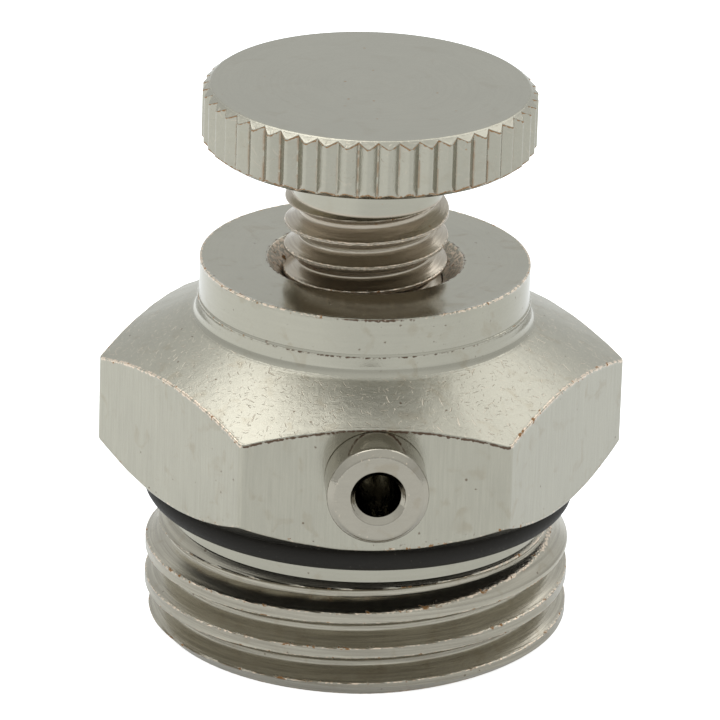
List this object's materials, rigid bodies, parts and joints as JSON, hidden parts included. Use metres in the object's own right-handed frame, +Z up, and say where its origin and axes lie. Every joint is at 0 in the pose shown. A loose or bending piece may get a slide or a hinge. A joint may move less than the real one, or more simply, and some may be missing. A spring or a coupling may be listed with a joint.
{
  "type": "manual air vent valve",
  "caption": "Screw-in manual air vent valve: threaded tail, hexagon with side outlet nozzle, and a knurled bleed screw that turns and lifts on its thread.",
  "frame": {"origin": "on the valve's axis, in the plane of the hexagon's underside, which stops against the port", "axes": "+Z up the axis from the threaded tail to the knob, -Y out of the outlet nozzle, +X to the right"},
  "size_m": [0.0254, 0.0244, 0.0274],
  "materials": {
    "satin_nickel_body": "nickel-plated brass, satin, tumbled, with brass showing on worn edges",
    "satin_nickel_screw": "nickel-plated brass, satin, with copper-coloured wear at the ends of the knurl",
    "bright_nickel_nozzle": "nickel-plated brass, bright turned",
    "black_rubber": "matt black moulded rubber"
  },
  "bodies": {
    "body": {"valve_body": "satin_nickel_body", "outlet_nozzle": "bright_nickel_nozzle", "flange_o_ring": "black_rubber"},
    "seal": {"seal_button": "black_rubber"},
    "screw": {"bleed_screw": "satin_nickel_screw"}
  },
  "joints": [
    {"name": "seal_lift", "type": "slide", "parent": "body", "child": "seal", "axis": [0, 0, 1], "range_m": [-0.00188, 0.00063]},
    {"name": "knob_turn", "type": "hinge", "parent": "seal", "child": "screw", "pos_m": [0, 0, 0.01072], "axis": [0, 0, 1], "range_deg": [-540, 180]}
  ],
  "couplings": [
    {"joint": "seal_lift", "follows": "knob_turn", "m_per_rad": 0.00019894}
  ]
}
